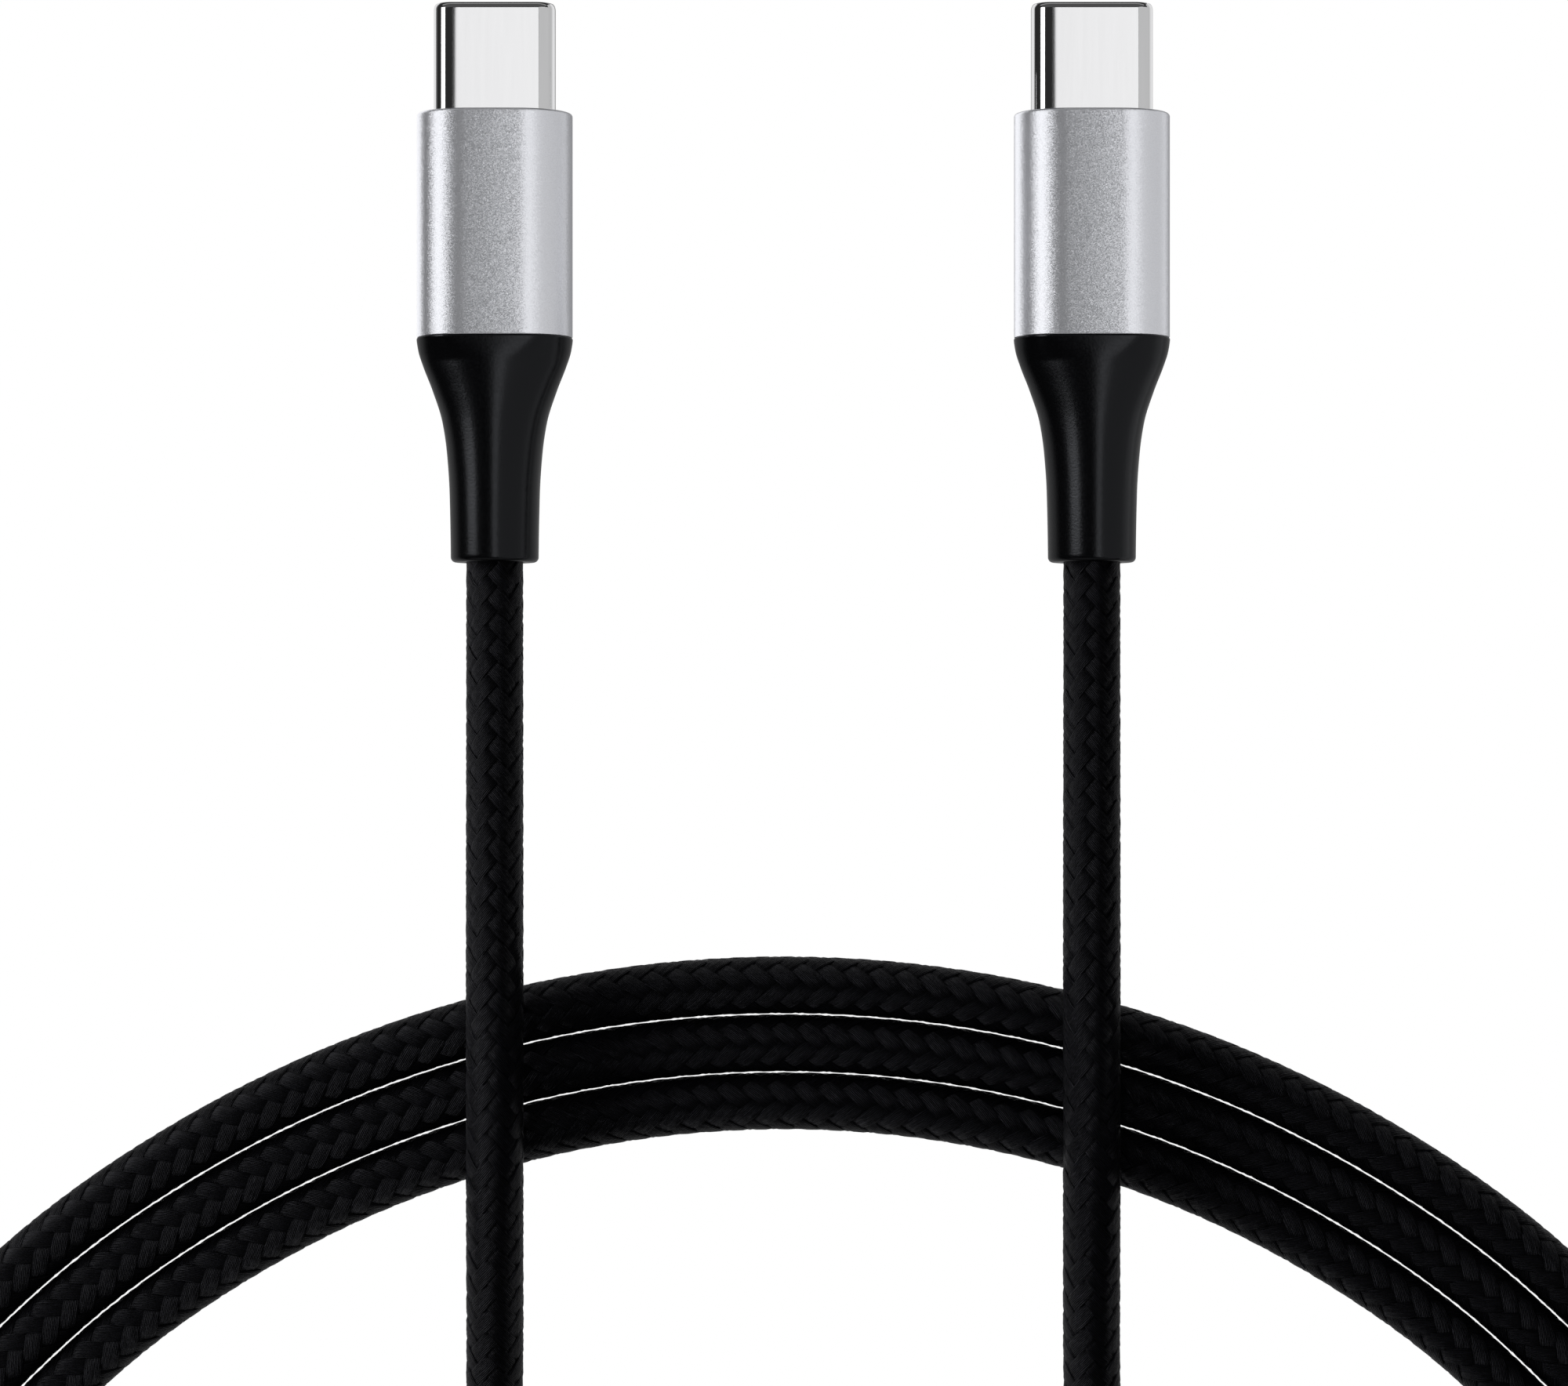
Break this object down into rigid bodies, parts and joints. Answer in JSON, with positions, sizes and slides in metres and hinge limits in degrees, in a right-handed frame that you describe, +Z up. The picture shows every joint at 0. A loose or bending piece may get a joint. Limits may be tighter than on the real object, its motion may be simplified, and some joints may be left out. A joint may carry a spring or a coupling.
{
  "type": "charging cable",
  "caption": "Braided charging cable with a flat reversible plug on each end, metal sleeves, flared strain-relief boots and the cord laid in a flat coil.",
  "frame": {"origin": "on the table under the point midway between the two plugs, at half their length", "axes": "+X from the left plug to the right plug, +Y towards the plugs' tips, +Z up from the table"},
  "size_m": [0.1389, 0.1631, 0.0083],
  "materials": {
    "steel_shell": "mirror-polished stainless steel",
    "black_insert": "moulded plastic",
    "gold_contact": "gold-plated",
    "spring_steel": "stamped spring steel",
    "card_green": "solder mask",
    "chip_black": "moulded epoxy",
    "ceramic_tan": "ceramic",
    "can_steel": "tin-plated sheet",
    "mould_white": "moulded plastic",
    "crimp_copper": "drawn copper",
    "anodised_sleeve": "bead-blasted and anodised",
    "black_boot": "satin elastomer",
    "cord_jacket": "extruded jacket",
    "wire_red": "wire insulation",
    "wire_black": "wire insulation",
    "wire_white": "wire insulation",
    "wire_blue": "wire insulation",
    "braid_black": "braided nylon"
  },
  "bodies": {
    "cord": {"lead_left": "braid_black", "coil": "braid_black", "lead_right": "braid_black"},
    "left_plug": {"left_plug_shell": "steel_shell", "left_tongue_housing": "black_insert", "left_upper_contacts": "gold_contact", "left_lower_contacts": "gold_contact", "left_side_latches": "spring_steel", "left_ground_springs": "spring_steel", "left_circuit_card": "card_green", "left_identity_chip": "chip_black", "left_card_passives": "ceramic_tan", "left_upper_shield_can": "can_steel", "left_lower_shield_can": "can_steel", "left_inner_mould": "mould_white", "left_crimp_ring": "crimp_copper", "left_aluminium_sleeve": "anodised_sleeve", "left_boot": "black_boot", "left_jacket_end": "cord_jacket", "left_supply_wire": "wire_red", "left_return_wire": "wire_black", "left_data_wires": "wire_white", "left_sense_wire": "wire_blue"},
    "right_plug": {"right_plug_shell": "steel_shell", "right_tongue_housing": "black_insert", "right_upper_contacts": "gold_contact", "right_lower_contacts": "gold_contact", "right_side_latches": "spring_steel", "right_ground_springs": "spring_steel", "right_circuit_card": "card_green", "right_identity_chip": "chip_black", "right_card_passives": "ceramic_tan", "right_upper_shield_can": "can_steel", "right_lower_shield_can": "can_steel", "right_inner_mould": "mould_white", "right_crimp_ring": "crimp_copper", "right_aluminium_sleeve": "anodised_sleeve", "right_boot": "black_boot", "right_jacket_end": "cord_jacket", "right_supply_wire": "wire_red", "right_return_wire": "wire_black", "right_data_wires": "wire_white", "right_sense_wire": "wire_blue"}
  },
  "joints": [
    {"name": "left_boot_bend", "type": "hinge", "parent": "cord", "child": "left_plug", "pos_m": [-0.0202, -0.01317, 0.003], "axis": [0, 0, 1], "range_deg": [-25, 25], "stiffness_Nm_per_rad": 0.02, "deforming": ["left_boot"]},
    {"name": "right_boot_bend", "type": "hinge", "parent": "cord", "child": "right_plug", "pos_m": [0.0202, -0.01317, 0.003], "axis": [0, 0, 1], "range_deg": [-25, 25], "stiffness_Nm_per_rad": 0.02, "deforming": ["right_boot"]}
  ]
}
